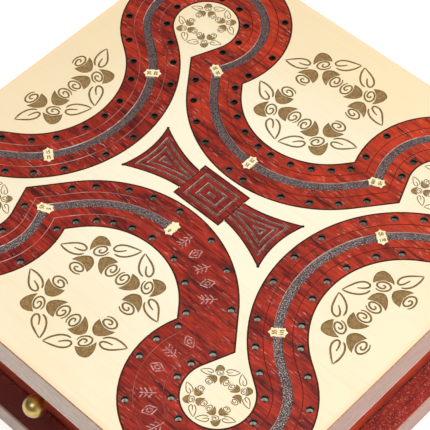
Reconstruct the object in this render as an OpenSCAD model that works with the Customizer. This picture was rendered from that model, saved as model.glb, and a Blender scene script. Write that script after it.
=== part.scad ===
// Square cribbage board on a low box with one drawer.
// Origin: centre of the underside of the base. +Z up. The drawer opens towards -Y.

/* [Board] */
// side of the square top plate and base plate
side = 254; // [180:1:320]
// thickness of the top plate
plate_t = 20; // [14:0.5:26]
// thickness of the base plate
base_t = 15; // [9:0.5:22]
// height of the walls between the two plates
body_h = 53.5; // [35:0.5:80]
// how far both plates stand out past the walls
overhang = 14.6; // [4:0.2:24]
// thickness of the edge banding
band_t = 1; // [0.6:0.1:3]

/* [Track] */
// width of the inlaid track
track_w = 27.6; // [22:0.2:34]
// depth of the inlaid track
track_d = 12; // [10:0.5:13]
// radius of the track round the large wreaths at front and back
wreath_r = 57.2; // [50:0.2:62]
// distance from the middle of the board to the centre of those arcs
wreath_y = 84.6; // [76:0.2:90]
// radius of the track round the corner medallions
corner_r = 31.2; // [26:0.2:34]
// medallion centre, distance along X from the middle of the board
corner_x = 79.6; // [74:0.2:84]
// medallion centre, distance along Y from the middle of the board
corner_y = 79.6; // [74:0.2:84]
// the least distance by which the side arcs clear the corner arcs
side_gap = 0.3; // [0.1:0.1:1]
// centre of the side arcs, distance along X from the middle of the board
side_x = 123.8; // [110:0.2:127]
// mitred kink of the track, distance along X
kink_x = 53.8; // [48:0.2:58]
// mitred kink of the track, distance along Y
kink_y = 60.3; // [54:0.2:64]
// width of the dark groove along the middle of the track
groove_w = 4.6; // [3:0.1:7]
// depth of that groove
groove_d = 0.8; // [0.3:0.1:2]

/* [Peg holes] */
// diameter of a peg hole
hole_d = 3.2; // [2.5:0.1:4]
// depth of a peg hole
hole_depth = 10; // [6:0.5:11]
// distance of each row of holes from the middle of the track
row_off = 10.3; // [7:0.1:12]
// stations along the track, from the middle of the back: wreath row, centre row
back_holes = [[5, 19, 32, 44, 55, 78, 91, 111, 130, 147],
              [4, 22, 34, 46, 59, 74, 90, 109, 128, 146]];
// the same for the front left quarter
left_holes = [[4, 18, 30, 40, 52, 75, 94, 112, 130, 147],
              [4, 17, 28, 42, 52, 68, 92, 110, 128, 146]];
// the same for the front right quarter, with the three starting holes first
start_holes = [[16, 34, 54, 75, 84, 93, 111, 128],
               [16, 32, 51, 67, 80, 94, 111, 128]];
// the same for the second half of every quarter
side_holes = [[165, 183, 202, 215, 232, 247, 266],
              [166, 185, 205, 222, 234, 247, 266]];
// angle on the side arcs at which the number inlays sit
side_mark = 142; // [130:1:150]

/* [Inlays] */
// half length of the centre block
block_x = 14.7; // [10:0.1:20]
// half width of the centre block
block_y = 11; // [8:0.1:16]
// half width of a wing where it meets the block
wing_root = 6.8; // [4:0.1:10]
// distance from the middle of the board to the wing's tips
wing_tip_x = 45.4; // [34:0.2:52]
// half width of a wing at its tips
wing_tip_y = 16; // [10:0.2:20]
// distance from the middle of the board to the hollow of the wing's end
wing_end_x = 42.6; // [32:0.2:50]
// thickness of the centre block and wings
bow_d = 4; // [2:0.5:6]
// outer radius of each of the two stars of a number inlay
star_r = 3; // [2:0.1:4]
// distance of each star from the middle of its number inlay
star_off = 1.7; // [1:0.1:3]
// thickness of a number inlay
number_d = 1.5; // [1:0.1:3]

/* [Box] */
// thickness of the side and back walls
wall_t = 9; // [6:0.5:14]
// number of screws through the base into each side wall
wall_screws = 3; // [2:1:4]
// shank diameter of a base screw
screw_d = 3.5; // [2.5:0.1:5]
// head diameter of a base screw
screw_head = 7; // [5:0.2:9]
// length of a base screw
screw_l = 28; // [20:1:40]

/* [Drawer] */
// thickness of the drawer front
front_t = 10; // [7:0.5:14]
// thickness of the drawer's sides and back
drawer_t = 6; // [4:0.5:9]
// thickness of the drawer's bottom
bottom_t = 4; // [3:0.5:6]
// height of the drawer's sides
drawer_h = 38; // [25:1:50]
// overall length of the drawer from front to back
drawer_l = 208; // [150:1:215]
// clearance between the drawer and the box on each side
clear = 0.5; // [0.3:0.1:1.5]
// width of the bay for pegs on the left
peg_bay = 58; // [40:1:90]

/* [Knob] */
// diameter of the ball knob
knob_d = 11.6; // [8:0.2:16]
// distance of the ball's centre in front of the drawer front
knob_reach = 11.4; // [8:0.2:16]
// diameter of the knob's neck
neck_d = 4.6; // [3:0.1:7]
// diameter of the knob's collar
collar_d = 7.4; // [5:0.1:10]
// diameter of the knob's screw
knob_screw_d = 3; // [2:0.1:4]

/* [Pegs] */
// length of a peg
peg_l = 42; // [30:1:50]
// diameter of a peg's shank end
peg_tip_d = 2.9; // [2:0.1:3.1]
// diameter of a peg's head
peg_head_d = 6; // [4:0.1:8]

/* [Hidden] */
z_body = base_t;
z_plate = base_t + body_h;
z_top = z_plate + plate_t;
core = side/2 - band_t;
out = side/2 - overhang;
in = out - wall_t;
eps = 0.01;

// ---- course of the track in the back right quarter, as arcs and tangents ----
wreath = [0, wreath_y];
corner = [corner_x, corner_y];
sidec = [side_x, 0];
kink = [kink_x, kink_y];
side_r = norm(corner - sidec) - corner_r - side_gap;

function polar(r, a) = [r*cos(a), r*sin(a)];
function bearing(v) = atan2(v[1], v[0]);
// the arc round the large wreath ends at a1, then runs straight to the kink
a1 = bearing(kink - wreath) - acos(wreath_r / norm(kink - wreath));
// the corner arc starts at b0 and ends at b1, running clockwise
b0 = 360 + bearing(kink - corner) - acos(corner_r / norm(kink - corner));
b1 = bearing(sidec - corner) + acos((corner_r + side_r) / norm(sidec - corner));
// the side arc starts at c0 and ends at 180
c0 = b1 + 180;

len1 = wreath_r * (a1 + 90) * PI/180;
len2 = norm(kink - wreath - polar(wreath_r, a1));
len3 = norm(kink - corner - polar(corner_r, b0));
len4 = corner_r * (b0 - b1) * PI/180;
len5 = norm(corner + polar(corner_r, b1) - sidec - polar(side_r, c0));
len6 = side_r * (180 - c0) * PI/180;
s_kink = len1 + len2;
s_ring = s_kink + len3;
s_side = s_ring + len4 + len5;
s_end = s_side + len6;
s_mark = s_end - side_r * (180 - side_mark) * PI/180;
s_mid = (s_kink + s_mark) / 2;

// heading of the track, and the point at distance s and offset o to its left
function heading(s) =
    s < len1 ? -90 + s/wreath_r*180/PI + 90 :
    s < s_kink ? a1 + 90 :
    s < s_ring ? b0 - 90 :
    s < s_ring + len4 ? b0 - (s - s_ring)/corner_r*180/PI - 90 :
    s < s_side ? b1 - 90 :
    c0 + (s - s_side)/side_r*180/PI + 90;
function point(s) =
    s < len1 ? wreath + polar(wreath_r, heading(s) - 90) :
    s < s_kink ? wreath + polar(wreath_r, a1) + polar(s - len1, a1 + 90) :
    s < s_ring ? kink + polar(s - s_kink, b0 - 90) :
    s < s_ring + len4 ? corner + polar(corner_r, heading(s) + 90) :
    s < s_side ? corner + polar(corner_r, b1) + polar(s - s_ring - len4, b1 - 90) :
    sidec + polar(side_r, heading(s) - 90);
function beside(s, o) = point(s) + polar(o, heading(s) + 90);

// one quarter of the line at offset o, with its mitre at the kink
function quarter(o) = concat(
    [for (i = [0:14]) wreath + polar(wreath_r - o, -90 + (a1 + 90)*i/14)],
    [kink + o*(polar(1, a1 + 180) + polar(1, b0)) / (1 + cos(a1 + 180 - b0))],
    [for (i = [0:30]) corner + polar(corner_r + o, b0 + (b1 - b0)*i/30)],
    [for (i = [0:14]) sidec + polar(side_r - o, c0 + (180 - c0)*i/14)]);
function flip(p, sx, sy) = [for (q = p) [q[0]*sx, q[1]*sy]];
function back(p) = [for (i = [len(p)-2:-1:1]) p[i]];
// the whole closed loop at offset o
function loop(o) = let (q = quarter(o)) concat(
    q, back(flip(q, 1, -1)), [[0, -q[0][1]]], [for (i = [1:len(q)-1]) -q[i]],
    back(flip(q, -1, 1)));

module ribbon(w) difference() {
    polygon(loop(w/2));
    polygon(loop(-w/2));
}

// the stretch from the front number inlay to the front right corner has no groove
module start_stretch() polygon([[0, 0], flipped(corner), flipped(corner
    + polar(60, heading(s_mid) + 90)), [corner_x, -side/2], [0, -side/2]]);
function flipped(v) = [v[0], -v[1]];

// ---- holes and number inlays ----
quarters = [[1, 1], [-1, 1], [-1, -1], [1, -1]];
stations = [back_holes, back_holes, left_holes, start_holes];

module at(s, o, q) translate([for (i = [0:1]) beside(s, o)[i]*q[i]]) children();

// calls its children at every hole
module holes() for (row = [0, 1]) let (o = row == 0 ? row_off : -row_off) {
    for (k = [0:3], s = concat(stations[k][row], side_holes[row]))
        at(s, o, quarters[k]) children();
    for (q = [[1, 1], [-1, 1]]) at(s_end - eps, o, q) children();
}
// calls its children at every number inlay, turned across the track
module marks() {
    for (q = [[1, 1], [1, -1]]) at(0, 0, q) rotate(90) children();
    for (q = quarters, s = concat(q == [1, -1] ? [] : [s_kink], [s_mid, s_mark]))
        at(s, 0, q) rotate((heading(s) + 90)*q[0]*q[1]) children();
}
module star(r) polygon([for (i = [0:11]) polar(i % 2 == 0 ? r : r*0.72, i*30)]);
module double_star() for (x = [-star_off, star_off]) translate([x, 0]) star(star_r);

// ---- bow tie ----
function bow(a, b, c, t) = a*(1-t)*(1-t) + 2*b*t*(1-t) + c*t*t;
function wing_edge(sy) = [for (i = [0:8])
    bow([block_x, wing_root*sy], [wing_tip_x*0.62, wing_root*sy*1.12],
        [wing_tip_x, wing_tip_y*sy], i/8)];
module wing() polygon(concat(wing_edge(-1),
    [for (i = [1:7]) bow([wing_tip_x, -wing_tip_y],
        [2*wing_end_x - wing_tip_x, 0], [wing_tip_x, wing_tip_y], i/8)],
    [for (i = [8:-1:0]) wing_edge(1)[i]]));
module block() square([2*block_x, 2*block_y], center = true);

// ---- top ----
module top_plate() color("#fcf0d7") difference() {
    translate([-core, -core, z_plate]) cube([2*core, 2*core, plate_t]);
    translate([0, 0, z_top - track_d]) linear_extrude(track_d + 1) ribbon(track_w);
    translate([0, 0, z_top - bow_d]) linear_extrude(bow_d + 1) {
        block();
        wing();
        mirror([1, 0]) wing();
    }
}

module track_inlay() color("#be2d19") difference() {
    translate([0, 0, z_top - track_d]) linear_extrude(track_d) ribbon(track_w);
    translate([0, 0, z_top - groove_d]) linear_extrude(groove_d + 1) difference() {
        ribbon(groove_w);
        start_stretch();
    }
    translate([0, 0, z_top - number_d]) linear_extrude(number_d + 1) marks() double_star();
    translate([0, 0, z_top - hole_depth]) holes()
        cylinder(d = hole_d, h = hole_depth + 1, $fn = 24);
}

module centre_inlay() color("#8c2318")
    translate([0, 0, z_top - bow_d]) linear_extrude(bow_d) block();
module wing_inlay_right() color("#a02a1c")
    translate([0, 0, z_top - bow_d]) linear_extrude(bow_d) wing();
module wing_inlay_left() color("#a02a1c")
    translate([0, 0, z_top - bow_d]) linear_extrude(bow_d) mirror([1, 0]) wing();
module number_inlays() color("#f3dcae")
    translate([0, 0, z_top - number_d]) linear_extrude(number_d) marks() double_star();

// edge banding: the front and back strips run past the ends of the side strips
module long_band(z, t) translate([-side/2, core, z]) cube([side, band_t, t]);
module short_band(z, t) translate([core, -core, z]) cube([band_t, 2*core, t]);
module top_band_back() color("#bfaaa2") long_band(z_plate, plate_t);
module top_band_front() color("#bfaaa2") mirror([0, 1]) long_band(z_plate, plate_t);
module top_band_right() color("#bfaaa2") short_band(z_plate, plate_t);
module top_band_left() color("#bfaaa2") mirror([1, 0]) short_band(z_plate, plate_t);
module base_band_back() color("#bfaaa2") long_band(0, base_t);
module base_band_front() color("#bfaaa2") mirror([0, 1]) long_band(0, base_t);
module base_band_right() color("#bfaaa2") short_band(0, base_t);
module base_band_left() color("#bfaaa2") mirror([1, 0]) short_band(0, base_t);

// ---- box ----
// calls its children at each base screw
module screws() {
    for (x = [-out + wall_t/2, out - wall_t/2], i = [0:wall_screws-1])
        translate([x, -out + 20 + (2*out - 40)*i/(wall_screws-1)]) children();
    for (x = [-60, 60]) translate([x, out - wall_t/2]) children();
}
module screw_body() {
    cylinder(d = screw_d, h = screw_l, $fn = 24);
    cylinder(d1 = screw_head, d2 = screw_d, h = screw_head/2, $fn = 32);
}
module base_plate() color("#b42820") difference() {
    translate([-core, -core, 0]) cube([2*core, 2*core, base_t]);
    screws() {
        cylinder(d = screw_d, h = base_t + 1, $fn = 24);
        cylinder(d1 = screw_head, d2 = screw_d, h = screw_head/2, $fn = 32);
    }
}
module base_screws() color("#8a8a88") screws() screw_body();

module wall_holes() translate([0, 0, -1]) screws()
    cylinder(d = screw_d, h = screw_l + 1, $fn = 24);
module wall_right() color("#be2d19") difference() {
    translate([in, -out, z_body]) cube([wall_t, 2*out, body_h]);
    wall_holes();
}
module wall_left() color("#be2d19") difference() {
    translate([-out, -out, z_body]) cube([wall_t, 2*out, body_h]);
    wall_holes();
}
module wall_back() color("#be2d19") difference() {
    translate([-in, in, z_body]) cube([2*in, wall_t, body_h]);
    wall_holes();
}

// ---- drawer ----
dw = 2*(in - clear);
dz = z_body + clear;
dy = -out + front_t;
knob_z = z_body + body_h/2;
module knob_hole(d) translate([0, -out - 1, knob_z]) rotate([-90, 0, 0])
    cylinder(d = d, h = front_t + 2, $fn = 24);

module drawer_front() color("#a82a1a") difference() {
    translate([-dw/2, -out, dz]) cube([dw, front_t, body_h - 2*clear]);
    knob_hole(knob_screw_d);
}
module side_panel() translate([dw/2 - drawer_t, dy, dz])
    cube([drawer_t, drawer_l - front_t, drawer_h]);
module drawer_side_right() color("#d9b98a") side_panel();
module drawer_side_left() color("#d9b98a") mirror([1, 0]) side_panel();
module drawer_back() color("#d9b98a")
    translate([-dw/2 + drawer_t, -out + drawer_l - drawer_t, dz])
        cube([dw - 2*drawer_t, drawer_t, drawer_h]);
module drawer_bottom() color("#e6cfa4") translate([-dw/2 + drawer_t, dy, dz])
    cube([dw - 2*drawer_t, drawer_l - front_t - drawer_t, bottom_t]);
module drawer_divider() color("#d9b98a")
    translate([-dw/2 + drawer_t + peg_bay, dy, dz + bottom_t])
        cube([drawer_t, drawer_l - front_t - drawer_t, drawer_h - bottom_t - 6]);

// ball knob on its neck and collar, and the screw that holds it from inside
module knob() color("#c8b46a") translate([0, -out, knob_z]) rotate([90, 0, 0])
    difference() {
        union() {
            cylinder(d = collar_d, h = 1.2, $fn = 48);
            cylinder(d = neck_d, h = knob_reach, $fn = 48);
            translate([0, 0, knob_reach]) sphere(d = knob_d, $fn = 64);
        }
        translate([0, 0, -1]) cylinder(d = knob_screw_d, h = knob_reach, $fn = 24);
    }
module knob_screw() color("#a8a8a4") translate([0, dy, knob_z]) rotate([90, 0, 0]) {
    cylinder(d = knob_screw_d, h = front_t + knob_reach - 2, $fn = 24);
    translate([0, 0, -2]) cylinder(d = 6, h = 2, $fn = 32);
}

// ---- pegs, lying side by side in the left bay ----
module peg() rotate([-90, 0, 0]) {
    cylinder(d1 = peg_tip_d, d2 = peg_head_d*0.7, h = peg_l - 6, $fn = 32);
    translate([0, 0, peg_l - 6]) cylinder(d = peg_head_d, h = 6, $fn = 32);
}
module peg_row(y) for (i = [0:2])
    translate([-dw/2 + drawer_t + 14 + 15*i, y, dz + bottom_t + peg_head_d/2]) peg();
module pegs_light() color("#efe3c4") peg_row(dy + 25);
module pegs_dark() color("#3a2018") peg_row(dy + 85);

top_plate();
track_inlay();
centre_inlay();
wing_inlay_left();
wing_inlay_right();
number_inlays();
top_band_front();
top_band_back();
top_band_left();
top_band_right();
base_plate();
base_band_front();
base_band_back();
base_band_left();
base_band_right();
wall_left();
wall_right();
wall_back();
base_screws();
drawer_front();
drawer_side_left();
drawer_side_right();
drawer_back();
drawer_bottom();
drawer_divider();
knob();
knob_screw();
pegs_light();
pegs_dark();
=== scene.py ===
import math

import bmesh
import bpy
import numpy as np
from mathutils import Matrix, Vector
from mathutils.geometry import delaunay_2d_cdt


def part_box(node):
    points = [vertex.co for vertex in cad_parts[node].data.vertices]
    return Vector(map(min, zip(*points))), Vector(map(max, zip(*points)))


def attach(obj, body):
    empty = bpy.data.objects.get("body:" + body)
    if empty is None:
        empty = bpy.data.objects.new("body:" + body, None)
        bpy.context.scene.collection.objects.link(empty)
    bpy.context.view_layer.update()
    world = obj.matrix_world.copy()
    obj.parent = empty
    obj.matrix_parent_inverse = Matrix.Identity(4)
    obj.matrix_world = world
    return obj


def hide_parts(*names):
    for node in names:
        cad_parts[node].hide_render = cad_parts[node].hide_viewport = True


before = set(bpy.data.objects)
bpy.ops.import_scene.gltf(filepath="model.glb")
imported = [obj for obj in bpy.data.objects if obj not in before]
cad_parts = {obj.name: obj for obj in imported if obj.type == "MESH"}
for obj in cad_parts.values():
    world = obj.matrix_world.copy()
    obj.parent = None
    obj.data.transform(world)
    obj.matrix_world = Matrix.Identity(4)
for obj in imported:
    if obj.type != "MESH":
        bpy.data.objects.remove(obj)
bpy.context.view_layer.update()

MM = 0.001
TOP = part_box("top_plate")[1][2] / MM  # height of the playing face
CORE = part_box("top_plate")[1][0] / MM  # half side of the plate inside its banding

# Lengths are in millimetres from here on; the mesh builders turn them into metres.
PLATE = 20  # thickness of the top plate
POCKET = 12  # depth of the track in it
BOW_POCKET = 4  # depth of the bow tie in it
HOLE_DEPTH = 10
MARK_DEPTH = 1.5
TILE = 1.45  # thickness of a number inlay
SCORCH = 0.16  # depth of a burnt line
BURN = 0.42  # its width
ETCH_DEPTH, FILL_DEPTH, DIGIT_DEPTH, FIGURE_DEPTH = 0.2, 0.26, 0.12, 0.15
GROOVE_DEPTH, BOW_GROOVE_DEPTH, SCORE_DEPTH = 0.8, 0.6, 0.4
MOUTH, MOUTH_DEPTH = 1.28, 0.45  # eased mouth of a peg hole: times its radius, and how deep

# ---------------------------------------------------------------- course of the track
TRACK_W = 27.6
GROOVE_W = 4.6
ROW = 10.3  # from the middle of the track to each row of holes
HOLE_R = 1.6
WREATH = np.array([0, 84.6])  # middle of the arc round a full wreath
CORNER = np.array([79.6, 79.6])  # middle of a corner ring
SIDE = np.array([123.8, 0])  # middle of the arc round a half wreath
KINK = np.array([53.8, 60.3])
WREATH_R, CORNER_R = 57.2, 31.2
SIDE_R = float(np.hypot(*(CORNER - SIDE))) - CORNER_R - 0.3
QUARTERS = [(1, 1), (-1, 1), (-1, -1), (1, -1)]


def polar(r, a):
    return np.array([r * math.cos(math.radians(a)), r * math.sin(math.radians(a))])


def bearing(v):
    return math.degrees(math.atan2(v[1], v[0]))


def arc_cos(x):
    return math.degrees(math.acos(x))


# Bearings at the ends of the arcs, then the distance along the track to each change.
A1 = bearing(KINK - WREATH) - arc_cos(WREATH_R / np.hypot(*(KINK - WREATH)))
B0 = 360 + bearing(KINK - CORNER) - arc_cos(CORNER_R / np.hypot(*(KINK - CORNER)))
B1 = bearing(SIDE - CORNER) + arc_cos((CORNER_R + SIDE_R) / np.hypot(*(SIDE - CORNER)))
C0 = B1 + 180
LEN1 = WREATH_R * math.radians(A1 + 90)
S_KINK = LEN1 + float(np.hypot(*(KINK - WREATH - polar(WREATH_R, A1))))
S_RING = S_KINK + float(np.hypot(*(KINK - CORNER - polar(CORNER_R, B0))))
LEN4 = CORNER_R * math.radians(B0 - B1)
S_SIDE = S_RING + LEN4 + float(
    np.hypot(*(CORNER + polar(CORNER_R, B1) - SIDE - polar(SIDE_R, C0))))
S_END = S_SIDE + SIDE_R * math.radians(180 - C0)
S_MARK = S_END - SIDE_R * math.radians(180 - 142)
S_MID = (S_KINK + S_MARK) / 2


def heading(s):
    if s < LEN1:
        return math.degrees(s / WREATH_R)
    if s < S_KINK:
        return A1 + 90
    if s < S_RING:
        return B0 - 90
    if s < S_RING + LEN4:
        return B0 - math.degrees((s - S_RING) / CORNER_R) - 90
    if s < S_SIDE:
        return B1 - 90
    return C0 + math.degrees((s - S_SIDE) / SIDE_R) + 90


def beside(s, o):
    """The point at distance s along the track in the back right quarter, o to its left."""
    h = heading(s)
    if s < LEN1:
        p = WREATH + polar(WREATH_R, h - 90)
    elif s < S_KINK:
        p = WREATH + polar(WREATH_R, A1) + polar(s - LEN1, A1 + 90)
    elif s < S_RING:
        p = KINK + polar(s - S_KINK, B0 - 90)
    elif s < S_RING + LEN4:
        p = CORNER + polar(CORNER_R, h + 90)
    elif s < S_SIDE:
        p = CORNER + polar(CORNER_R, B1) + polar(s - S_RING - LEN4, B1 - 90)
    else:
        p = SIDE + polar(SIDE_R, h - 90)
    return p + polar(o, h + 90)


def loop(o):
    """The closed line all round the board at offset o from the middle of the track."""
    q = [WREATH + polar(WREATH_R - o, a) for a in np.linspace(-90, A1, 24)]
    n = polar(1, A1 + 180) + polar(1, B0)
    q.append(KINK + o * n / (1 + math.cos(math.radians(A1 + 180 - B0))))
    q += [CORNER + polar(CORNER_R + o, a) for a in np.linspace(B0, B1, 48)]
    q += [SIDE + polar(SIDE_R - o, a) for a in np.linspace(C0, 180, 24)]
    q = np.array(q)
    parts = [q, (q * (1, -1))[-2:0:-1], q[:1] * (1, -1), -q[1:], (q * (-1, 1))[-2:0:-1]]
    return np.vstack(parts)


# ---------------------------------------------------------------- plane shapes
def smooth(points, n):
    """A curve through the points, n steps between each two."""
    p = np.array(points, float)
    out = []
    for i in range(len(p) - 1):
        a, b, c, d = (p[min(max(j, 0), len(p) - 1)] for j in (i - 1, i, i + 1, i + 2))
        for t in np.arange(n) / n:
            out.append(0.5 * (2 * b + (c - a) * t + (2 * a - 5 * b + 4 * c - d) * t * t
                              + (3 * b - a - 3 * c + d) * t ** 3))
    return np.array(out + [p[-1]])


def stroke(path, w0, w1=None, wm=None):
    """A closed outline round a path: width w0 at its start, wm in the middle, w1 at its end."""
    path = np.array(path)
    w1 = w0 if w1 is None else w1
    wm = (w0 + w1) / 2 if wm is None else wm
    t = np.gradient(path, axis=0)
    t /= np.maximum(np.hypot(t[:, 0], t[:, 1]), 1e-9)[:, None]
    n = np.stack([-t[:, 1], t[:, 0]], 1)
    u = np.linspace(0, 1, len(path))
    w = np.interp(u, [0, 0.18, 0.82, 1], [w0, wm, wm, w1])[:, None] / 2
    return np.vstack([path + n * w, (path - n * w)[::-1]])


def circle(c, r, n=20):
    a = np.arange(n) * 2 * math.pi / n
    return np.stack([c[0] + r * np.cos(a), c[1] + r * np.sin(a)], 1)


def grown(p, k):
    """The outline p, k times as large about its middle."""
    c = p.mean(0)
    return c + (p - c) * k


def turn(p, angle):
    c, s = math.cos(math.radians(angle)), math.sin(math.radians(angle))
    return np.array(p) @ np.array([[c, s], [-s, c]])


def inside(poly, pts):
    """Which points lie inside the polygon."""
    hit = np.zeros(len(pts), bool)
    lo, hi = poly.min(0), poly.max(0)
    near = np.where((pts > lo).all(1) & (pts < hi).all(1))[0]
    if len(near):
        x, y = pts[near, 0][:, None], pts[near, 1][:, None]
        a, b = poly, np.roll(poly, -1, 0)
        cross = (a[:, 1] > y) != (b[:, 1] > y)
        dy = np.where(a[:, 1] == b[:, 1], 1e-12, b[:, 1] - a[:, 1])
        at = a[:, 0] + (y - a[:, 1]) / dy * (b[:, 0] - a[:, 0])
        hit[near] = (cross & (x < at)).sum(1) % 2 == 1
    return hit


# ---------------------------------------------------------------- carved reliefs
def triangles(polys):
    """The outlines triangulated together: corners, triangles and the middle of each."""
    verts, edges = [], []
    for p in polys:
        n, m = len(verts), len(p)
        verts += [Vector(q) for q in p]
        edges += [(n + i, n + (i + 1) % m) for i in range(m)]
    v, _, f, *_ = delaunay_2d_cdt(verts, edges, [], 0, 1e-5)
    v, f = np.array([tuple(q) for q in v]), np.array([tuple(q) for q in f])
    return v, f, v[f].mean(1)


def odd(polys, pts):
    """Which points lie inside an odd number of the outlines."""
    n = np.zeros(len(pts), int)
    for p in polys:
        n += inside(np.asarray(p), pts)
    return n % 2 == 1


def mesh_object(name, verts, faces, slots, mats):
    mesh = bpy.data.meshes.new(name)
    mesh.from_pydata(verts, [], faces)
    for m in mats:
        mesh.materials.append(m)
    mesh.polygons.foreach_set("material_index", slots)
    obj = bpy.data.objects.new(name, mesh)
    bpy.context.collection.objects.link(obj)
    return obj


def relief(name, shapes, rule, outline, floor, mats):
    """A flat piece whose face is carved.

    shapes maps tag to outlines, and where outlines of one tag overlap, they cancel out.
    rule(tags) gives (height, material, material of the walls down to it) for each patch of
    the face, or None outside. A height may also be a function of the place.
    """
    v, tris, mid = triangles([p for ps in shapes.values() for p in ps])
    tags = {tag: odd(ps, mid) for tag, ps in shapes.items()}
    cells = [rule({t for t in tags if tags[t][i]}) for i in range(len(tris))]
    verts, faces, slots, ids = [], [], [], {}

    def at(i, z):
        z = z(v[i]) if callable(z) else z
        key = (int(i), round(z, 4))
        if key not in ids:
            ids[key] = len(verts)
            verts.append((v[i][0] * MM, v[i][1] * MM, z * MM))
        return ids[key]

    sides = {}
    for k, tri in enumerate(tris):
        if cells[k]:
            faces.append([at(i, cells[k][0]) for i in tri])
            slots.append(cells[k][1])
        for a, b in zip(tri, np.roll(tri, -1)):
            sides.setdefault((min(a, b), max(a, b)), []).append((k, a, b))
    for both in sides.values():
        rims = []
        for k, a, b in both:
            z = cells[k][0] if cells[k] else floor
            rims.append((at(a, z), at(b, z), cells[k], a, b))
        rims.sort(key=lambda r: -(verts[r[0]][2] + verts[r[1]][2]))
        if not rims[0][2]:
            continue
        p, q, high, a, b = rims[0]
        low = rims[1][2] if len(rims) > 1 else None
        z = low[0] if low else floor
        r, t = at(b, z), at(a, z)
        if (p, q) != (t, r):
            faces.append([t, r] + ([q] if q != r else []) + ([p] if p != t else []))
            slots.append(low[-1] if low else high[1])
    bv, btris, bmid = triangles(outline)
    keep = odd(outline, bmid)
    base = len(verts)
    verts += [(x * MM, y * MM, floor * MM) for x, y in bv]
    for k, tri in enumerate(btris):
        if keep[k]:
            faces.append([base + i for i in tri[::-1]])
            slots.append(0)
    obj = mesh_object(name, verts, faces, slots, mats)
    obj.data.validate()
    return obj


# ---------------------------------------------------------------- materials
LIGHT = 1.27  # how much light the playing face gives back, so a colour is named as it shows


def srgb(r, g, b, light=LIGHT):
    return tuple((c / 255 / 12.92 if c <= 10 else ((c / 255 + 0.055) / 1.055) ** 2.4) / light
                 for c in (r, g, b)) + (1,)


class Nodes:
    """A short way to write a node material."""

    def __init__(self, name, rough=0.5, metal=0.0, gloss=0.15):
        self.mat = bpy.data.materials.new(name)
        self.mat.use_nodes = True
        self.t = self.mat.node_tree
        self.bsdf = self.t.nodes["Principled BSDF"]
        self.bsdf.inputs["Roughness"].default_value = rough
        self.bsdf.inputs["Metallic"].default_value = metal
        self.bsdf.inputs["Specular IOR Level"].default_value = gloss
        self.coord = self.t.nodes.new("ShaderNodeTexCoord").outputs["Object"]

    def put(self, node, key, v):
        """Give an input of the node a value, or link a socket to it."""
        if isinstance(v, bpy.types.NodeSocket):
            self.t.links.new(v, node.inputs[key])
        else:
            node.inputs[key].default_value = v

    def node(self, kind, **inputs):
        n = self.t.nodes.new("ShaderNode" + kind)
        for k, v in inputs.items():
            self.put(n, k, v)
        return n

    def noise(self, scale, detail=3.0, rough=0.55, distortion=0.0, offset=(0, 0, 0)):
        """Noise with scale (x, y, z) in cycles per metre."""
        m = self.node("Mapping", Vector=self.coord, Scale=scale, Location=offset)
        return self.node("TexNoise", Vector=m.outputs[0], Scale=1.0, Detail=detail,
                         Roughness=rough, Distortion=distortion).outputs["Fac"]

    def ramp(self, fac, *stops):
        r = self.node("ValToRGB", Fac=fac)
        e = r.color_ramp.elements
        while len(e) < len(stops):
            e.new(0.5)
        for k, (pos, col) in enumerate(stops):
            e[k].position = pos
            e[k].color = col if isinstance(col, tuple) else (col, col, col, 1)
        return r.outputs["Color"]

    def mix(self, fac, a, b, blend="MIX"):
        n = self.t.nodes.new("ShaderNodeMix")
        n.data_type, n.blend_type = "RGBA", blend
        for key, v in ((0, fac), (6, a), (7, b)):
            self.put(n, key, v)
        return n.outputs[2]

    def math(self, op, a, b=0.0, clamp=False):
        n = self.t.nodes.new("ShaderNodeMath")
        n.operation, n.use_clamp = op, clamp
        self.put(n, 0, a)
        self.put(n, 1, b)
        return n.outputs[0]

    def axis(self, name):
        return self.node("SeparateXYZ", Vector=self.coord).outputs[name]

    def front_right(self):
        """0 at the back left of the board, rising to 1 at its front right."""
        d = self.math("MULTIPLY", self.math("SUBTRACT", self.axis("X"), self.axis("Y")), 5.0)
        return self.math("ADD", d, 0.45, clamp=True)

    def from_middle(self):
        """Distance from the middle of the board along X or Y, whichever is more."""
        return self.math("MAXIMUM", self.math("ABSOLUTE", self.axis("X")),
                         self.math("ABSOLUTE", self.axis("Y")))

    def color(self, socket):
        self.t.links.new(socket, self.bsdf.inputs["Base Color"])

    def rough(self, socket):
        self.t.links.new(socket, self.bsdf.inputs["Roughness"])

    def bump(self, socket, depth, strength=1.0):
        b = self.node("Bump", Height=socket, Distance=depth, Strength=strength)
        self.t.links.new(b.outputs[0], self.bsdf.inputs["Normal"])


def along(axis, long, cross):
    """Scale for grain that runs along the axis: long and cross in cycles per metre."""
    return tuple(long if a == axis else cross for a in "XYZ")


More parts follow.
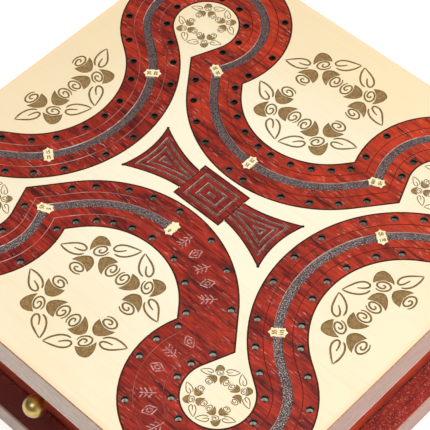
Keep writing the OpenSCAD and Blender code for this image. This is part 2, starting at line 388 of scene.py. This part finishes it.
def bloodwood(name, axis="X", light=srgb(186, 50, 28), dark=srgb(82, 13, 11),
              streak=srgb(54, 12, 10), streaks=0.9, specks=0.55, painted_sparkle=0.0, warm=0.0, foot=0.0):
    m = Nodes(name, 0.45, gloss=0.2)
    tone = m.noise(along(axis, 34, 90), 5, 0.7, 0.8)
    fine = m.noise(along(axis, 70, 820), 3, 0.7, offset=(3, 1, 2))
    mixed = m.math("ADD", m.math("MULTIPLY", tone, 0.55), m.math("MULTIPLY", fine, 0.45))
    base = m.ramp(mixed, (0.38, dark), (0.62, light))
    if warm:  # more orange towards the back right
        place = m.math("ADD", m.math("MULTIPLY", m.axis("X"), 1.2),
                       m.math("MULTIPLY", m.axis("Y"), 3.2))
        place = m.math("ADD", place, m.math("MULTIPLY", tone, 0.4), clamp=True)
        base = m.mix(m.ramp(place, (0.2, 0.0), (0.9, warm)), base, srgb(224, 72, 26))
    dim = m.ramp(m.noise(along(axis, 40, 340), 4, 0.7, offset=(7, 7, 7)),
                 (0.51, 0.0), (0.67, streaks))
    base = m.mix(dim, base, streak)
    lines = m.ramp(m.noise(along(axis, 170, 2000), 1, 0.4, offset=(1, 5, 9)),
                   (0.66, 0.0), (0.7, 1.0))
    where = m.ramp(m.noise((60, 60, 60), 2, offset=(4, 4, 4)), (0.4, 0.0), (0.6, specks))
    base = m.mix(m.mix(1.0, lines, where, "MULTIPLY"), base, srgb(246, 190, 174))
    # painted sparkle: light dots standing in for glints off the finish
    if painted_sparkle:
        glint_dots = m.ramp(m.noise((1700, 1700, 1700), 2, 0.6, offset=(2, 8, 3)),
                      (0.59, 0.0), (0.7, painted_sparkle))
        base = m.mix(glint_dots, base, srgb(235, 170, 150))
    if foot:  # a dark band, broken up by noise, where a wall stands on it: partly a dark glue line, partly painted shade in the corner
        seam = m.math("MULTIPLY", m.math("SUBTRACT", (foot + 1.1) * MM, m.from_middle()),
                      2500.0, clamp=True)
        patchy = m.ramp(m.noise((420, 420, 420), 2, offset=(6, 6, 6)), (0.35, 1.0), (0.6, 0.4))
        seam = m.mix(1.0, seam, patchy, "MULTIPLY")
        base = m.mix(seam, base, srgb(52, 16, 12))
        # painted shadow: the ledge in front of the front wall is darkened
        shade = m.math("MULTIPLY", m.math("SUBTRACT", -foot * MM, m.axis("Y")), 300.0, clamp=True)
        base = m.mix(m.math("MULTIPLY", shade, 0.9), base, srgb(106, 52, 48))
    m.color(base)
    m.bump(fine, 0.00015, 0.7)
    return m.mat


def maple(name):
    """Pale; painted shade makes it darker and warmer towards the back left; warmer near the edges,
    palest in the middle.
    """
    m = Nodes(name, 0.5)
    # painted shade: darker and warmer towards the back left, lighter towards the front right
    across = m.math("MULTIPLY", m.math("SUBTRACT", m.axis("X"), m.axis("Y")), 3.0)
    across = m.math("ADD", across, 0.5, clamp=True)
    cloud = m.noise((24, 40, 24), 4, 0.55)
    grain = m.noise((30, 520, 30), 3, 0.6, offset=(5, 2, 0))
    base = m.mix(across, srgb(234, 214, 175), srgb(244, 230, 199))
    edge = m.from_middle()
    middle = m.math("SUBTRACT", 1.8, m.math("MULTIPLY", edge, 18.0), clamp=True)
    base = m.mix(m.ramp(cloud, (0.35, 0.0), (0.68, 0.45)), base, srgb(242, 218, 174))
    base = m.mix(m.math("MULTIPLY", middle, 0.8), base, srgb(242, 235, 211))
    base = m.mix(m.ramp(grain, (0.5, 0.0), (0.75, 0.2)), base, srgb(228, 200, 154))
    warm = m.math("MULTIPLY", m.math("SUBTRACT", edge, (CORE - 2.5) * MM), 400.0, clamp=True)
    base = m.mix(m.math("MULTIPLY", warm, 0.8), base, srgb(248, 214, 174))
    m.color(base)
    m.bump(grain, 0.00005, 0.3)
    return m.mat


def burnt(name, a, b, scale=900, rough=0.8, light=None, far=None):
    m = Nodes(name, rough)
    n = m.noise((scale,) * 3, 2, 0.7)
    base = m.ramp(n, (0.35, a), (0.65, b))
    # painted glints: light specks, stronger towards the front right of the board
    if light:
        glint_dots = m.ramp(m.noise((2100,) * 3, 1, 0.5, offset=(9, 2, 4)), (0.52, 0.0), (0.68, 0.55))
        glint_amount = m.math("ADD", m.math("MULTIPLY", m.front_right(), 1.2), 0.4)
        base = m.mix(m.math("MULTIPLY", glint_dots, glint_amount), base, light)
    if far:  # the colour that it fades to at the back right
        place = m.math("MULTIPLY", m.math("ADD", m.axis("X"), m.axis("Y")), 8.0)
        base = m.mix(m.math("ADD", place, 0.75, clamp=True), base, far)
    m.color(base)
    m.bump(n, 0.0003, 0.7)
    return m.mat


def peg_hole():
    """Scorched at the mouth, pale wood further down; painted light makes it paler towards the front
    right, and painted shade darkens it deep down.
    """
    m = Nodes("peg_hole", 0.6)
    z = m.axis("Z")
    depth = m.math("MULTIPLY", m.math("SUBTRACT", (TOP - 1.7) * MM, z), 1500.0, clamp=True)
    # painted shade: dark deep down in the hole
    deep_painted_shade = m.math("MULTIPLY", m.math("SUBTRACT", (TOP - 4.4) * MM, z), 900.0, clamp=True)
    # painted light: the pale wood grows lighter towards the front right of the board
    pale_painted_light = m.mix(m.front_right(), srgb(104, 88, 76), srgb(255, 250, 240, 1))
    m.color(m.mix(deep_painted_shade, m.mix(depth, srgb(22, 15, 13), pale_painted_light), srgb(40, 30, 26)))
    n = m.noise((500, 500, 1500), 2)
    m.bump(n, 0.0002, 0.5)
    return m.mat


def banding(name, a, b):
    m = Nodes(name, 0.55)
    n = m.noise((240, 240, 1100), 3, 0.6)
    fleck = m.noise((900, 900, 900), 2, 0.5, offset=(4, 4, 1))
    face = m.ramp(n, (0.35, a), (0.65, b))
    face = m.mix(m.ramp(fleck, (0.55, 0.0), (0.7, 0.25)), face, srgb(150, 128, 120))
    m.color(face)
    m.bump(n, 0.00008, 0.5)
    return m.mat


def brass():
    m = Nodes("brass", 0.4, 1.0, 0.5)
    n = m.noise((300, 300, 300), 3)
    m.color(m.ramp(n, (0.3, srgb(160, 136, 78, 1)), (0.7, srgb(190, 166, 104, 1))))
    m.rough(m.ramp(n, (0.3, 0.27), (0.7, 0.36)))
    return m.mat


def steel():
    m = Nodes("steel", 0.35, 1.0, 0.5)
    n = m.noise((900, 900, 900), 2)
    m.color(m.ramp(n, (0.3, srgb(150, 150, 148)), (0.7, srgb(190, 190, 186))))
    return m.mat


def plain_wood(name, a, b, axis):
    m = Nodes(name, 0.55)
    n = m.noise(along(axis, 16, 300), 4, 0.6, 0.3)
    m.color(m.ramp(n, (0.35, a), (0.68, b)))
    m.bump(n, 0.0001, 0.5)
    return m.mat


MAPLE = maple("maple")
TRACK = bloodwood("track_bloodwood", warm=0.75)
OUTLINE = burnt("scorched_line", srgb(48, 20, 12), srgb(84, 38, 22))
RIM = burnt("scorched_rim", srgb(46, 31, 27), srgb(108, 82, 74), 1400)
ETCH = burnt("etched_line", srgb(110, 86, 46), srgb(144, 116, 68))
FILL = burnt("etched_fill", srgb(124, 96, 58), srgb(160, 128, 82))
# the light specks in the groove are painted glints
GROOVE = burnt("track_groove", srgb(50, 36, 36), srgb(96, 76, 74), 1100, light=srgb(210, 196, 190))
# painted glints: the near white walls of the grooves stand in for light caught on them
CUT_GLINT = burnt("cut_edge_glint", srgb(206, 150, 138, 1), srgb(255, 250, 246, 1), 170, rough=0.4)
FIGURE = burnt("engraved_figure", srgb(146, 84, 78), srgb(216, 168, 160), 700)
SCORE = burnt("scored_line", srgb(128, 44, 36), srgb(206, 134, 122), 300, far=srgb(122, 34, 24))
HOLE = peg_hole()
BOW = bloodwood("bow_bloodwood", light=srgb(158, 40, 26), dark=srgb(104, 20, 15),
                streak=srgb(76, 12, 14), specks=0.25)
# the light specks in the bow grooves are painted glints
BOW_CUT = burnt("bow_groove", srgb(70, 44, 34), srgb(110, 82, 68), 1100, light=srgb(184, 160, 144))
# painted glints on the walls of the scored lines, bright in stretches and fading towards the back
# right
SCORE_CUT_GLINT = burnt("score_edge_glint", srgb(190, 110, 96, 1), srgb(255, 242, 236, 1), 60,
                  far=srgb(150, 52, 40))
PALE = plain_wood("inlay_maple", srgb(238, 218, 166), srgb(250, 238, 198), "X")
DIGIT = burnt("digit_line", srgb(118, 78, 34), srgb(156, 110, 56))

# ---------------------------------------------------------------- bow tie outlines
BLOCK = np.array([[-14.7, -11], [14.7, -11], [14.7, 11], [-14.7, 11]])


def quadratic(a, b, c, t):
    return a * (1 - t) ** 2 + 2 * b * t * (1 - t) + c * t * t


def wing(inset):
    """The right wing, drawn in by inset on its long edges and its end."""
    def end(y):
        return 42.6 + 2.8 * (y / 16) ** 2

    t = np.linspace(0, 1, 40)
    ex, ey = quadratic(14.7, 28.15, 45.4, t), quadratic(6.8, 7.62, 16.0, t)
    keep = ey - inset > 0.15
    x, y = ex[keep], ey[keep] - inset
    ok = x <= end(y) - inset + 1e-6
    x, y = x[ok], y[ok]
    y0 = y[-1]
    yy = np.linspace(y0, -y0, 16)[1:-1]
    right = np.stack([end(yy) - inset, yy], 1)
    return np.vstack([np.stack([x, y], 1), right, np.stack([x, -y], 1)[::-1]])


def outset(poly, d):
    """A convex-ish outline grown by d along its corner normals."""
    p = np.array(poly, float)
    if np.sum(p[:, 0] * np.roll(p[:, 1], -1) - np.roll(p[:, 0], -1) * p[:, 1]) < 0:
        p = p[::-1]
    a, b = p - np.roll(p, 1, 0), np.roll(p, -1, 0) - p
    na = np.stack([a[:, 1], -a[:, 0]], 1) / np.maximum(np.hypot(*a.T), 1e-9)[:, None]
    nb = np.stack([b[:, 1], -b[:, 0]], 1) / np.maximum(np.hypot(*b.T), 1e-9)[:, None]
    n = na + nb
    return p + d * n / np.maximum((1 + (na * nb).sum(1)), 0.5)[:, None]


# ---------------------------------------------------------------- wreaths
CUP = [(-5.3, 0.3), (-5.2, -3.0), (-3.7, -6.0), (-0.6, -7.4), (2.4, -5.7), (4.5, -2.7), (5.4, 0.1)]
CUP_LIP = [(5.4, 0.1), (2.6, -1.1), (-0.7, -1.5), (-5.3, 0.3)]
LEAF_A = [(1, 0), (0.72, 0.14), (0.4, 0.26), (0.14, 0.26), (-0.02, 0.14), (0.02, 0.02),
          (0.2, -0.01), (0.44, 0.03)]
LEAF_B = [(1, 0), (0.74, -0.16), (0.42, -0.25), (0.16, -0.22), (0.0, -0.12)]
PETALS = [(-3.7, 1.5), (-2.3, 2.5), (0, 2.8), (2.3, 2.1), (3.6, 0.5), (3.1, -1.2), (1.4, -2.4),
          (-0.8, -2.6), (-2.7, -1.9), (-3.3, -0.6), (-2.6, 0.5), (-1.2, 1.2), (0.2, 1.15),
          (0.9, 0.3), (0.5, -0.6), (-0.5, -0.7)]


def bud(c, angle, flip=1, size=1.0):
    """Outlines of one bud that opens along angle from its middle c."""
    def place(p):
        return turn(np.array(p) * (flip, 1) * size, angle - 90) + c

    cup = np.vstack([smooth(CUP, 5), smooth(CUP_LIP, 5)[1:-1]])
    mid = np.array([-0.2, -3.4])
    petals = smooth(PETALS, 4) + (0.1, 5.3 - 3.4)
    return place(cup), place(mid + (cup - mid) * 0.86), place(stroke(petals, 0.55, 0.65, 1.0))


def leaf(tip, base, flip=1):
    tip, base = np.array(tip, float), np.array(base, float)
    d = tip - base
    out = []
    for half in (LEAF_A, LEAF_B):
        p = turn(np.array(half) * (1, flip) * np.hypot(*d), bearing(d)) + base
        out.append(stroke(smooth(p, 6), 0.55, 0.6, 1.0))
    return out


def cluster():
    """Three buds and two leaves, drawn in the back right quarter of a wreath."""
    cups, cores, lines = [], [], []
    for b in (bud((16.9, 7.4), -90, -1), bud((5.35, 15.9), 183, -1, 0.98),
              bud((16.9, 21.2), 214, -1, 0.96)):
        cups.append(b[0])
        cores.append(b[1])
        lines.append(b[2])
    lines += leaf((1.0, 33.3), (10.6, 24.4), -1) + leaf((32.6, 9.7), (21.1, 15.0), 1)
    return {"cup": cups, "core": cores, "line": lines}


def wreath(c, signs, scale=1.0, swap=False):
    out = {"cup": [], "core": [], "line": []}
    for sx, sy in signs:
        for tag, polys in cluster().items():
            for p in polys:
                q = (p[:, ::-1] if swap else p) * scale * (sx, sy) + c
                out[tag].append(q)
    return out


etch = {"cup": [], "core": [], "line": []}
for w in ([wreath((0, s * 80.0), QUARTERS) for s in (1, -1)]
          + [wreath((-116, 0), [(1, 1), (1, -1)], swap=True),
             wreath((116, 0), [(-1, 1), (-1, -1)], swap=True)]
          + [wreath((sx * 79.6, sy * 79.6), QUARTERS, 0.465) for sx, sy in QUARTERS]):
    for tag in etch:
        etch[tag] += w[tag]

# ---------------------------------------------------------------- maple top
square = np.array([[-CORE, -CORE], [CORE, -CORE], [CORE, CORE], [-CORE, CORE]])
WING = wing(0.0)
wings = [WING, WING * (-1, 1)]


def top_rule(tags):
    if "square" not in tags:
        return None
    if "track" in tags:
        return TOP - POCKET, 0
    if "bow" in tags:
        return TOP - BOW_POCKET, 0
    if tags & {"track_burn", "bow_burn", "corner_burn"}:
        return TOP - SCORCH, 1
    if "line" in tags:
        return TOP - ETCH_DEPTH, 2
    if "core" in tags:
        return TOP - FILL_DEPTH, 3
    if "cup" in tags:
        return TOP - ETCH_DEPTH, 2
    return TOP, 0


bow_all = [BLOCK] + wings
top = relief(
    "carved_top",
    {"square": [square],
     "track": [loop(TRACK_W / 2), loop(-TRACK_W / 2)],
     "track_burn": [loop(TRACK_W / 2 + BURN), loop(-TRACK_W / 2 - BURN)],
     "bow": bow_all, "bow_burn": [outset(p, BURN) for p in bow_all],
     "corner_burn": [circle(np.array((45.2, 15.9)) * q, 0.8) for q in QUARTERS], **etch},
    top_rule, [square], TOP - PLATE, [MAPLE, OUTLINE, ETCH, FILL])
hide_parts("top_plate")
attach(top, "box")

# ---------------------------------------------------------------- track
# Distances along the track to the peg holes, in the outer and the inner row.
HOLES_BACK = ([5, 19, 32, 44, 55, 78, 91, 111, 130, 147],
              [4, 22, 34, 46, 59, 74, 90, 109, 128, 146])
HOLES_LEFT = ([4, 18, 30, 40, 52, 75, 94, 112, 130, 147],
              [4, 17, 28, 42, 52, 68, 92, 110, 128, 146])
HOLES_START = ([16, 34, 54, 75, 84, 93, 111, 128], [16, 32, 51, 67, 80, 94, 111, 128])
HOLES_SIDE = ([165, 183, 202, 215, 232, 247, 266], [166, 185, 205, 222, 234, 247, 266])
STATIONS = [HOLES_BACK, HOLES_BACK, HOLES_LEFT, HOLES_START]

holes = []
for row, o in ((0, ROW), (1, -ROW)):
    for k, q in enumerate(QUARTERS):
        holes += [circle(beside(s, o) * q, HOLE_R) for s in STATIONS[k][row] + HOLES_SIDE[row]]
    holes += [circle(beside(S_END - 0.01, o) * q, HOLE_R) for q in ((1, 1), (-1, 1))]

# The number inlays: middle and angle of each.
marks = [(np.array([0, beside(0, 0)[1] * s]), 90) for s in (1, -1)]
for q in QUARTERS:
    for s in ([] if q == (1, -1) else [S_KINK]) + [S_MID, S_MARK]:
        marks.append((beside(s, 0) * q, (heading(s) + 90) * q[0] * q[1]))


def star(c, r=3.0):
    return np.array([polar(r if i % 2 == 0 else r * 0.72, i * 30) + c for i in range(12)])


stars = [[turn(star((x, 0)), a) + c for x in (-1.7, 1.7)] for c, a in marks]

# The groove stops short of the mask; the scored lines stop short of the start mask.
mask = np.array([[0, 0], CORNER * (1, -1),
                 (CORNER + polar(60, heading(S_MID) + 90)) * (1, -1), [CORNER[0], -125], [0, -125]])
start_mask = np.array([[0, -84.6], (KINK - WREATH) * (1, -1) * 1.4 + (0, -84.6), [40, 0], [0, 0]])


def ornament():
    """Engraved figures where the real board is lettered: ears of grass and double lozenges."""
    out = []
    for k, s in enumerate((10, 19, 28, 37, 46, 74, 84, 94, 108, 117, 126, 135, 144)):
        h, c = heading(s), beside(s, 0)
        lines = []
        if k % 2:
            for r in (1.0, 0.45):
                d = np.array([(-3.3, 0), (0, 2.3), (3.3, 0), (0, -2.3)]) * r
                for i in range(4):
                    a, b = d[i], d[(i + 1) % 4]
                    lines.append((a * 0.94 + b * 0.06, a * 0.06 + b * 0.94))
        else:
            lines.append(((-3.4, 0), (3.4, 0)))
            for x in (-1.6, 0.3, 2.0):
                for side in (1, -1):
                    lines.append(((x, 0.5 * side), (x + 1.3, 2.2 * side)))
        for a, b in lines:
            f = stroke(np.linspace(a, b, 4) * 1.15, 0.62)
            out.append((turn(f, h + 90) + c) * (1, -1))
    return out


middles = np.array([p.mean(0) for p in holes])


def funnel(p):
    """The eased mouth of the nearest hole."""
    r = np.hypot(*(middles - p).T).min()
    return TOP - MOUTH_DEPTH * min(max((HOLE_R * MOUTH - r) / (HOLE_R * (MOUTH - 1)), 0), 1)


def track_rule(tags):
    if "track" not in tags:
        return None
    if "hole" in tags:
        return TOP - HOLE_DEPTH, 2
    if "rim" in tags:
        return funnel, 6
    if "mark" in tags or "mark2" in tags:
        return TOP - MARK_DEPTH, 0
    if "body" not in tags or tags & {"mark_burn", "mark2_burn"}:
        return TOP - SCORCH, 1
    if "groove" in tags and "mask" not in tags:
        return TOP - GROOVE_DEPTH, 3, 5
    if "ornament" in tags:
        return TOP - FIGURE_DEPTH, 7
    if "score" in tags and "start_mask" not in tags:
        return TOP - SCORE_DEPTH, 4, 8
    return TOP, 0


W2 = TRACK_W / 2
track = relief(
    "carved_track",
    {"track": [loop(W2), loop(-W2)], "body": [loop(W2 - BURN), loop(BURN - W2)],
     "hole": holes, "rim": [grown(p, MOUTH) for p in holes],
     "mark": [a for a, b in stars], "mark2": [b for a, b in stars],
     "mark_burn": [grown(a, 1.09) for a, b in stars],
     "mark2_burn": [grown(b, 1.09) for a, b in stars],
     "groove": [loop(GROOVE_W / 2), loop(-GROOVE_W / 2)],
     "mask": [mask], "start_mask": [start_mask], "ornament": ornament(),
     "score": [loop(o) for o in (6.55, 6.95, -6.55, -6.95)]},
    track_rule, [loop(W2), loop(-W2)], TOP - POCKET,
    [TRACK, OUTLINE, HOLE, GROOVE, SCORE, CUT_GLINT, RIM, FIGURE, SCORE_CUT_GLINT])
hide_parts("track_inlay")
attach(track, "box")

# ---------------------------------------------------------------- bow tie
def bow_rule(tags):
    if "whole" not in tags:
        return None
    if "body" not in tags:
        return TOP - SCORCH, 1
    if tags & {"g1", "g2", "g3"}:
        return TOP - BOW_GROOVE_DEPTH, 2, 3
    return TOP, 0


BOW_MATS = [BOW, OUTLINE, BOW_CUT, CUT_GLINT]
block = relief(
    "carved_block",
    {"whole": [BLOCK], "body": [outset(BLOCK, -BURN)],
     "g1": [BLOCK * (11.2 / 14.7, 8.2 / 11), BLOCK * (9.8 / 14.7, 6.8 / 11)],
     "g2": [BLOCK * (6.6 / 14.7, 4.6 / 11), BLOCK * (5.3 / 14.7, 3.3 / 11)],
     "g3": [BLOCK * (2.2 / 14.7, 0.9 / 11)]},
    bow_rule, [BLOCK], TOP - BOW_POCKET, BOW_MATS)
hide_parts("centre_inlay")
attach(block, "box")
for side, sx in (("right", 1), ("left", -1)):
    m = (sx, 1)
    w = relief(
        "carved_wing_" + side,
        {"whole": [WING * m], "body": [wing(BURN) * m],
         "g1": [wing(2.4) * m, wing(3.7) * m], "g2": [wing(5.5) * m, wing(6.8) * m],
         "g3": [wing(8.6) * m, wing(9.7) * m]},
        bow_rule, [WING * m], TOP - BOW_POCKET, BOW_MATS)
    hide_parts("wing_inlay_" + side)
    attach(w, "box")

# ---------------------------------------------------------------- number inlays
DIGITS = {
    "0": [[(0.5, 0), (0.1, 0.3), (0.1, 0.7), (0.5, 1), (0.9, 0.7), (0.9, 0.3), (0.52, 0)]],
    "1": [[(0.25, 0.75), (0.55, 1), (0.55, 0)]],
    "2": [[(0.1, 0.8), (0.5, 1), (0.85, 0.75), (0.1, 0), (0.9, 0)]],
    "3": [[(0.1, 0.9), (0.6, 1), (0.8, 0.75), (0.4, 0.55), (0.85, 0.3), (0.5, 0), (0.1, 0.1)]],
    "4": [[(0.7, 0), (0.7, 1), (0.1, 0.3), (0.95, 0.3)]],
    "5": [[(0.85, 1), (0.2, 1), (0.15, 0.55), (0.6, 0.6), (0.85, 0.3), (0.5, 0), (0.1, 0.1)]],
    "6": [[(0.75, 1), (0.2, 0.6), (0.1, 0.25), (0.5, 0), (0.9, 0.25), (0.6, 0.55), (0.2, 0.4)]],
    "7": [[(0.1, 1), (0.9, 1), (0.35, 0)]],
    "8": [[(0.5, 0.52), (0.15, 0.75), (0.5, 1), (0.85, 0.75), (0.5, 0.5), (0.1, 0.25), (0.5, 0),
           (0.9, 0.25), (0.55, 0.5)]],
    "9": [[(0.8, 0.6), (0.4, 0.45), (0.15, 0.75), (0.5, 1), (0.85, 0.75), (0.8, 0.4), (0.3, 0)]],
}


def numeral(text, c, angle, h):
    """Outlines of a number of height h that stands at c."""
    w = h * 0.5
    out = []
    for k, ch in enumerate(text):
        x0 = (k - len(text) / 2) * w * 1.25 + w * 0.12
        for path in DIGITS[ch]:
            p = np.array(path) * (w, h) + (x0, -h / 2)
            fine = np.vstack([np.linspace(a, b, 4)[:-1] for a, b in zip(p, p[1:])] + [p[-1:]])
            out.append(turn(stroke(fine, 0.48), angle) + c)
    return out


# first and second lap, in the order of marks
LAPS = [("35", "95"), ("0", ""), ("40", "100"), ("45", "105"), ("50", "110"), ("30", "90"),
        ("25", "85"), ("20", "80"), ("5", "65"), ("10", "70"), ("15", "75"), ("60", "120"),
        ("55", "115")]


def tile_rule(tags):
    if not tags & {"a", "b"}:
        return None
    return (TOP - DIGIT_DEPTH, 1) if "digit" in tags else (TOP, 0)


for k, (c, a) in enumerate(marks):
    digits = []
    for x, text in zip((-1.75, 1.75), LAPS[k]):
        place = turn(np.array([[x, 0]]), a)[0] + c
        digits += numeral(text, place, a + 90, 2.0 if len(text) < 3 else 1.7)
    one, two = stars[k]
    # The hidden underside is closed below the first star only.
    tile = relief("number_tile_%02d" % k, {"a": [one], "b": [two], "digit": digits},
                  tile_rule, [one], TOP - TILE, [PALE, DIGIT])
    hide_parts("number_inlays")
    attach(tile, "box")

# ---------------------------------------------------------------- CAD nodes
# painted light: two copies of one banding, lighter and greyer for the front and left, darker and
# pinker for the back and right
BAND_FRONT_PAINTED_LIGHT = banding("band_front_painted_light", srgb(183, 163, 149), srgb(206, 186, 171))
BAND_SIDE_PAINTED_LIGHT = banding("band_side_painted_light", srgb(166, 132, 121), srgb(185, 151, 138))
ARRIS = burnt("band_upper_arris", srgb(164, 116, 86), srgb(190, 142, 110), 600, rough=0.6)
# painted highlights: pale arrises where the rounded edges catch the light
LOWER_ARRIS_HIGHLIGHT = burnt("band_lower_arris_highlight", srgb(248, 196, 178), srgb(255, 214, 198), 600, rough=0.5)
BASE_ARRIS_HIGHLIGHT = burnt("base_upper_arris_highlight", srgb(176, 142, 130), srgb(194, 162, 148), 600, rough=0.5)


def strip(node, face, upper):
    """One strip of edge banding with eased arrises: brown on the upper arris of the top band; the
    pale arrises are painted highlights.
    """
    lo, hi = (np.array(p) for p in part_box(node))
    long = 0 if hi[0] - lo[0] > hi[1] - lo[1] else 1
    across = 1 - long
    out = 1 if lo[across] + hi[across] > 0 else -1
    t, z0, z1, c = hi[across] - lo[across], lo[2], hi[2], 0.45 * MM
    inner = lo[across] if out > 0 else hi[across]
    profile = [(0, z0), (t - c, z0), (t, z0 + c), (t, z0 + 2 * c), (t, z1 - 2 * c), (t, z1 - c),
               (t - c, z1), (0, z1)]
    slots = [3, 2, 2, 0, 1, 1, 3, 3] if upper else [3, 2, 0, 0, 0, 4, 4, 3]
    verts, n = [], len(profile)
    steps = np.linspace(lo[long], hi[long], 9)
    for a in steps:
        for o, z in profile:
            p = [0, 0, z]
            p[long], p[across] = a, inner + out * o
            verts.append(p)
    faces = [[k * n + i, k * n + (i + 1) % n, (k + 1) * n + (i + 1) % n, (k + 1) * n + i]
             for k in range(len(steps) - 1) for i in range(n)]
    ends = [list(range(n)), list(range((len(steps) - 1) * n, len(steps) * n))]
    obj = mesh_object(node + "_strip", verts, faces + ends, slots * (len(steps) - 1) + [0, 0],
                      (face, ARRIS, LOWER_ARRIS_HIGHLIGHT, MAPLE, BASE_ARRIS_HIGHLIGHT))
    bm = bmesh.new()
    bm.from_mesh(obj.data)
    bmesh.ops.recalc_face_normals(bm, faces=bm.faces)
    bm.to_mesh(obj.data)
    bm.free()
    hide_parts(node)
    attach(obj, "box")


for part in ("top_band", "base_band"):
    for side in ("front", "back", "left", "right"):
        # painted light: the front and left strips take one copy, the back and right the other
        face = BAND_FRONT_PAINTED_LIGHT if side in ("front", "left") else BAND_SIDE_PAINTED_LIGHT
        strip(part + "_" + side, face, part == "top_band")

WALL_X = bloodwood("wall_bloodwood_x", "X", light=srgb(200, 64, 38), dark=srgb(146, 36, 25),
                   streaks=0.45, specks=0.15)
# painted light: the side walls get a brighter copy of the bloodwood than the back wall
WALL_Y_PAINTED_LIGHT = bloodwood("wall_bloodwood_y_painted_light", "Y", light=srgb(220, 84, 52), dark=srgb(164, 46, 30),
                   streaks=0.45, specks=0.15)
BASE = bloodwood("base_bloodwood", "Y", light=srgb(172, 52, 38), dark=srgb(132, 30, 26),
                 streak=srgb(100, 20, 18), specks=0.0, painted_sparkle=0.8, foot=112.4)
FRONT = bloodwood("front_bloodwood", "X", light=srgb(190, 76, 56), dark=srgb(152, 54, 42),
                  streaks=0.45, specks=0.1)
POPLAR_X = plain_wood("drawer_wood_x", srgb(190, 150, 104), srgb(214, 180, 134), "X")
POPLAR_Y = plain_wood("drawer_wood_y", srgb(190, 150, 104), srgb(214, 180, 134), "Y")
LOOKS = {
    "base_plate": BASE, "wall_left": WALL_Y_PAINTED_LIGHT, "wall_right": WALL_Y_PAINTED_LIGHT, "wall_back": WALL_X,
    "drawer_front": FRONT, "drawer_side_left": POPLAR_Y, "drawer_side_right": POPLAR_Y,
    "drawer_back": POPLAR_X, "drawer_bottom": POPLAR_X, "drawer_divider": POPLAR_Y,
    "knob": brass(), "knob_screw": steel(), "base_screws": steel(),
    "pegs_light": plain_wood("peg_maple", srgb(230, 208, 160), srgb(244, 228, 190), "Y"),
    "pegs_dark": plain_wood("peg_walnut", srgb(46, 26, 18), srgb(74, 44, 30), "Y"),
}
for node, mat in LOOKS.items():
    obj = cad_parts[node]
    for s in obj.material_slots:
        s.material = mat

# ---------------------------------------------------------------- floor, lights, camera
bpy.ops.mesh.primitive_plane_add(size=60, location=(0, 0, -0.0005))
floor = bpy.context.object
floor.name = "floor"
white = Nodes("pale_floor", 0.9)
white.color(white.ramp(white.noise((2, 2, 2), 1),
                       (0.4, srgb(250, 250, 250, 1)), (0.6, srgb(253, 253, 253, 1))))
white.bsdf.inputs["Emission Color"].default_value = (1, 1, 1, 1)
white.bsdf.inputs["Emission Strength"].default_value = 0.42
floor.data.materials.append(white.mat)

world = bpy.data.worlds.new("studio")
world.use_nodes = True
background = world.node_tree.nodes["Background"]
background.inputs["Color"].default_value = (1, 1, 1, 1)
background.inputs["Strength"].default_value = 0.26
bpy.context.scene.world = world


def area(name, at, to, size, power):
    data = bpy.data.lights.new(name, "AREA")
    data.shape, data.size, data.energy = "DISK", size, power
    obj = bpy.data.objects.new(name, data)
    obj.location = at
    obj.rotation_euler = (Vector(to) - Vector(at)).to_track_quat("-Z", "Y").to_euler()
    bpy.context.collection.objects.link(obj)


area("overhead", (0.3, 0.6, 3.2), (0, 0, 0.05), 1.6, 46)
area("key", (0.78, 0.62, 1.65), (0, 0, 0.05), 0.22, 22)
area("glint", (0.12, -0.85, 1.45), (0, -0.1, 0.05), 0.8, 6.5)
area("side", (1.3, -0.1, 0.42), (0.1, 0, 0.05), 1.2, 3.0)

cam = bpy.data.objects.new("camera", bpy.data.cameras.new("camera"))
cam.data.lens = 140.2
cam.data.clip_start, cam.data.clip_end = 0.01, 20
cam.location = (0.3504, -0.3503, 0.7340)
cam.rotation_euler = tuple(math.radians(a) for a in (36.81, 1.005, 43.506))
bpy.context.collection.objects.link(cam)
bpy.context.scene.camera = cam
bpy.context.scene.view_settings.view_transform = "Standard"
